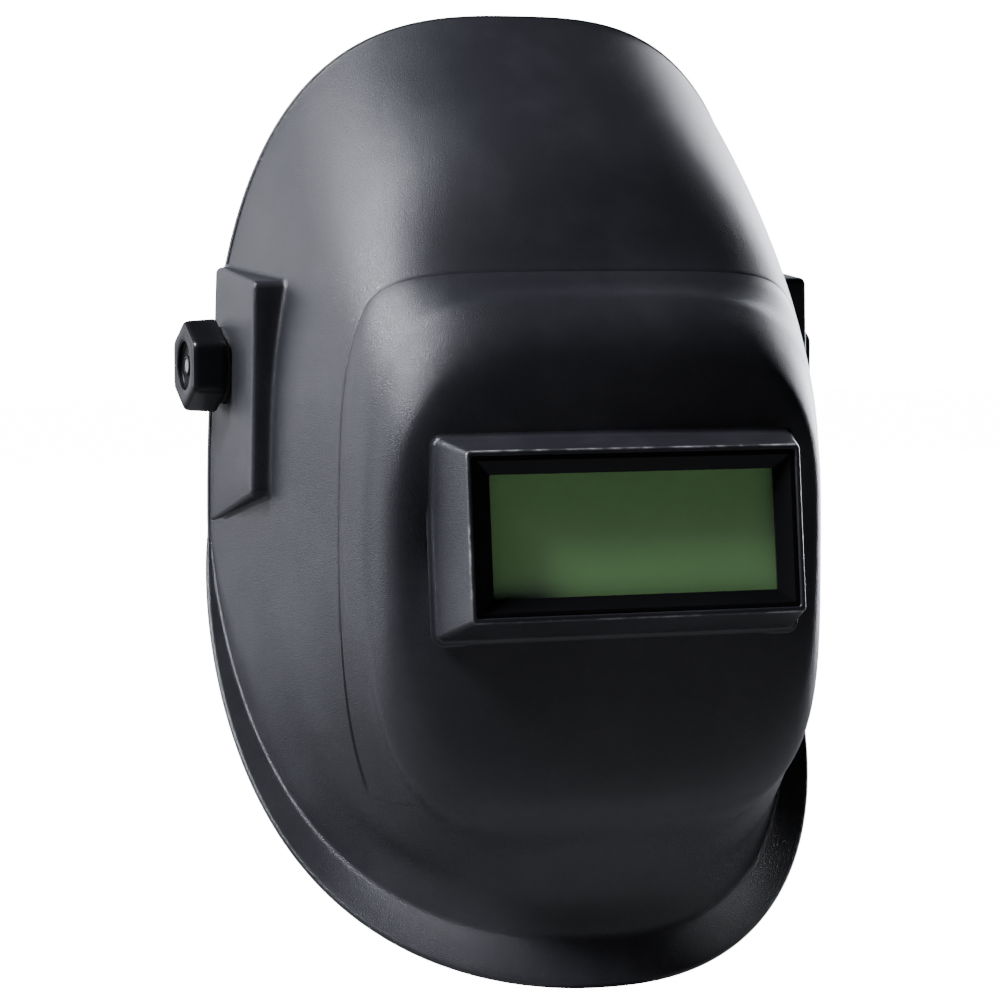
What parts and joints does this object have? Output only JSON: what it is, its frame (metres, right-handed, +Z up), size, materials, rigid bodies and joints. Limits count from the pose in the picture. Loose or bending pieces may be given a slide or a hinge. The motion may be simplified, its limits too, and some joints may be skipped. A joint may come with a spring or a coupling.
{
  "type": "welding helmet",
  "caption": "Passive welding helmet: black moulded shell with a bezel-framed green filter window, hexagonal tension knobs at the sides and ratchet headgear inside.",
  "frame": {"origin": "midpoint of the tilt axis between the two tension knobs, at the middle of the wearer's head", "axes": "+Z up, the front of the helmet faces -Y, the wearer's left is +X"},
  "size_m": [0.2352, 0.2829, 0.33],
  "materials": {
    "shell": "satin black moulded thermoplastic with a fine grain",
    "window_frame": "smooth near-black plastic",
    "filter_glass": "dark green welding filter glass",
    "clear_lens": "clear polycarbonate cover plate",
    "soft_rubber": "matt black rubber",
    "steel": "bright zinc-plated steel",
    "brass": "plain brass",
    "knob_plastic": "smooth black plastic",
    "headgear_plastic": "satin black nylon",
    "foam": "cloth-covered foam"
  },
  "bodies": {
    "headgear": {"front_headband": "headgear_plastic", "sweatband": "foam", "crown_strap_peg": "headgear_plastic", "detent_spring": "steel", "rear_pad": "foam", "ratchet_housing_front": "headgear_plastic", "ratchet_housing_rear": "headgear_plastic", "side_arm_left": "headgear_plastic", "side_arm_right": "headgear_plastic", "arm_rivet_left": "steel", "arm_rivet_right": "steel", "pivot_screw_left": "steel", "pivot_screw_right": "steel", "tilt_stop_left": "headgear_plastic", "tilt_stop_right": "headgear_plastic", "friction_washer_left": "soft_rubber", "friction_washer_right": "soft_rubber", "crown_strap_left": "headgear_plastic", "crown_strap_right": "headgear_plastic", "crown_rivet_left": "steel", "crown_rivet_right": "steel", "housing_screw_left": "steel", "housing_screw_right": "steel"},
    "shell": {"helmet_shell": "shell", "window_frame": "window_frame", "outer_cover_lens": "clear_lens", "lens_gasket": "soft_rubber", "filter_lens": "filter_glass", "inner_cover_lens": "clear_lens", "lens_retaining_frame": "headgear_plastic"},
    "lens_clip": {"lens_clip_wire": "steel"},
    "pressure_left": {"pressure_washer_left": "soft_rubber"},
    "pressure_right": {"pressure_washer_right": "soft_rubber"},
    "knob_left": {"tension_knob_left": "knob_plastic", "knob_insert_left": "brass"},
    "knob_right": {"tension_knob_right": "knob_plastic", "knob_insert_right": "brass"},
    "band_left": {"band_tail_left": "headgear_plastic"},
    "band_right": {"band_tail_right": "headgear_plastic"},
    "ratchet": {"ratchet_knob": "knob_plastic", "ratchet_pinion": "headgear_plastic"}
  },
  "joints": [
    {"name": "helmet_flip", "type": "hinge", "parent": "headgear", "child": "shell", "pos_m": [0, 0, 0], "axis": [-1, 0, 0], "range_deg": [0, 70]},
    {"name": "lens_clip_swing", "type": "hinge", "parent": "shell", "child": "lens_clip", "pos_m": [0, -0.11388, -0.03306], "axis": [1, 0, 0], "range_deg": [0, 100]},
    {"name": "knob_turn_left", "type": "hinge", "parent": "pressure_left", "child": "knob_left", "pos_m": [0.1116, 0, 0], "axis": [1, 0, 0], "range_deg": [0, 720]},
    {"name": "knob_turn_right", "type": "hinge", "parent": "pressure_right", "child": "knob_right", "pos_m": [-0.1116, 0, 0], "axis": [-1, 0, 0], "range_deg": [0, 720]},
    {"name": "pressure_slide_left", "type": "slide", "parent": "headgear", "child": "pressure_left", "axis": [1, 0, 0], "range_m": [0, 0.0025]},
    {"name": "pressure_slide_right", "type": "slide", "parent": "headgear", "child": "pressure_right", "axis": [-1, 0, 0], "range_m": [0, 0.0025]},
    {"name": "ratchet_turn", "type": "hinge", "parent": "headgear", "child": "ratchet", "pos_m": [0, 0.1273, -0.01338], "axis": [0, 0.9945, -0.1045], "range_deg": [-90, 90]},
    {"name": "band_slide_left", "type": "slide", "parent": "headgear", "child": "band_left", "axis": [1, 0, 0], "range_m": [-0.0063, 0.0063]},
    {"name": "band_slide_right", "type": "slide", "parent": "headgear", "child": "band_right", "axis": [-1, 0, 0], "range_m": [-0.0063, 0.0063]}
  ],
  "couplings": [
    {"joint": "pressure_slide_left", "follows": "knob_turn_left", "m_per_rad": 0.0001989},
    {"joint": "pressure_slide_right", "follows": "knob_turn_right", "m_per_rad": 0.0001989},
    {"joint": "band_slide_left", "follows": "ratchet_turn", "m_per_rad": 0.004},
    {"joint": "band_slide_right", "follows": "ratchet_turn", "m_per_rad": 0.004}
  ]
}
